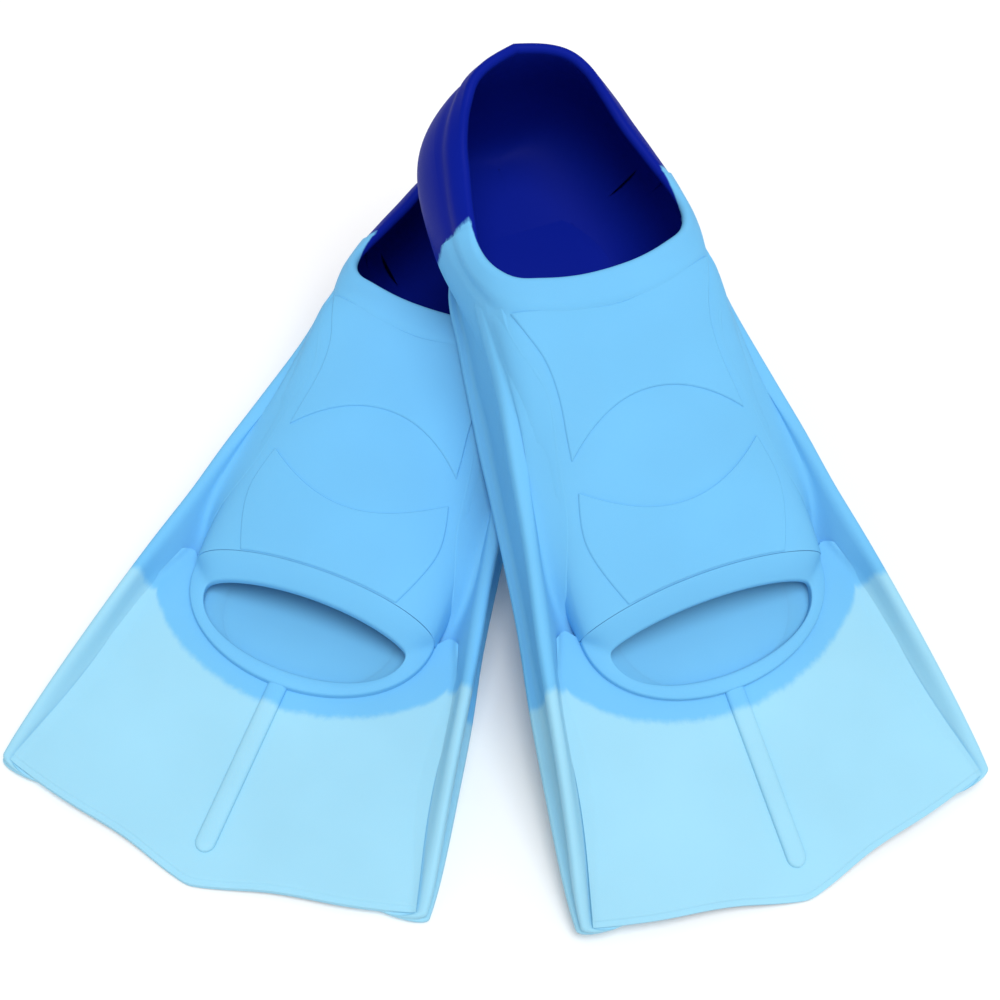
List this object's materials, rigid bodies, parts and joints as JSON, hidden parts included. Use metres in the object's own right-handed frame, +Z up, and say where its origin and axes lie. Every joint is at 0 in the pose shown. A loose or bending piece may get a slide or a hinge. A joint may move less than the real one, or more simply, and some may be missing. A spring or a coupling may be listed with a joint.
{
  "type": "swim fins",
  "caption": "Pair of short-blade silicone swim fins with closed-heel foot pockets, open toes, channelled side rails and ribbed flexible blades, one lying across the other's heel.",
  "frame": {"origin": "centre of the pair's footprint, on the surface that the fins lie on", "axes": "+Z up; -Y roughly from the heels to the blade tips; +X towards the right fin's blade"},
  "size_m": [0.4053, 0.3546, 0.183],
  "materials": {
    "royal_silicone": "satin royal blue silicone",
    "sky_silicone": "satin sky blue silicone",
    "pale_silicone": "satin pale aqua silicone"
  },
  "bodies": {
    "left_pocket": {"left_ankle_collar_front": "sky_silicone", "left_foot_upper": "sky_silicone", "left_upper_instep_panel": "sky_silicone", "left_lower_instep_panel": "sky_silicone", "left_footbed": "sky_silicone", "left_toe_rim": "sky_silicone", "left_blade_root": "sky_silicone", "left_side_rail_rear_a": "sky_silicone", "left_side_rail_rear_b": "sky_silicone"},
    "left_heel": {"left_heel_cup": "royal_silicone", "left_ankle_collar_rear": "royal_silicone"},
    "left_blade": {"left_blade_panel": "pale_silicone", "left_blade_rib": "pale_silicone", "left_side_rail_front_a": "pale_silicone", "left_side_rail_front_b": "pale_silicone"},
    "right_pocket": {"right_ankle_collar_front": "sky_silicone", "right_foot_upper": "sky_silicone", "right_upper_instep_panel": "sky_silicone", "right_lower_instep_panel": "sky_silicone", "right_footbed": "sky_silicone", "right_toe_rim": "sky_silicone", "right_blade_root": "sky_silicone", "right_side_rail_rear_a": "sky_silicone", "right_side_rail_rear_b": "sky_silicone"},
    "right_heel": {"right_heel_cup": "royal_silicone", "right_ankle_collar_rear": "royal_silicone"},
    "right_blade": {"right_blade_panel": "pale_silicone", "right_blade_rib": "pale_silicone", "right_side_rail_front_a": "pale_silicone", "right_side_rail_front_b": "pale_silicone"}
  },
  "joints": [
    {"name": "right_fin_lift", "type": "slide", "parent": "left_pocket", "child": "right_pocket", "axis": [0, 0, 1], "range_m": [0, 0.2]},
    {"name": "left_blade_flex", "type": "hinge", "parent": "left_pocket", "child": "left_blade", "pos_m": [-0.09552, -0.09122, 0.014], "axis": [-0.9573, 0.289, 0], "range_deg": [-20, 20], "stiffness_Nm_per_rad": 3.5},
    {"name": "left_heel_pull", "type": "hinge", "parent": "left_pocket", "child": "left_heel", "pos_m": [-0.02905, 0.12896, 0.0065], "axis": [-0.9573, 0.289, 0], "range_deg": [0, 20], "stiffness_Nm_per_rad": 3},
    {"name": "right_blade_flex", "type": "hinge", "parent": "right_pocket", "child": "right_blade", "pos_m": [0.09502, -0.08668, 0.0356], "axis": [-0.8878, -0.4602, 0], "range_deg": [-20, 20], "stiffness_Nm_per_rad": 3.5},
    {"name": "right_heel_pull", "type": "hinge", "parent": "right_pocket", "child": "right_heel", "pos_m": [-0.0075, 0.11109, 0.09335], "axis": [-0.8878, -0.4602, 0], "range_deg": [0, 20], "stiffness_Nm_per_rad": 3}
  ]
}
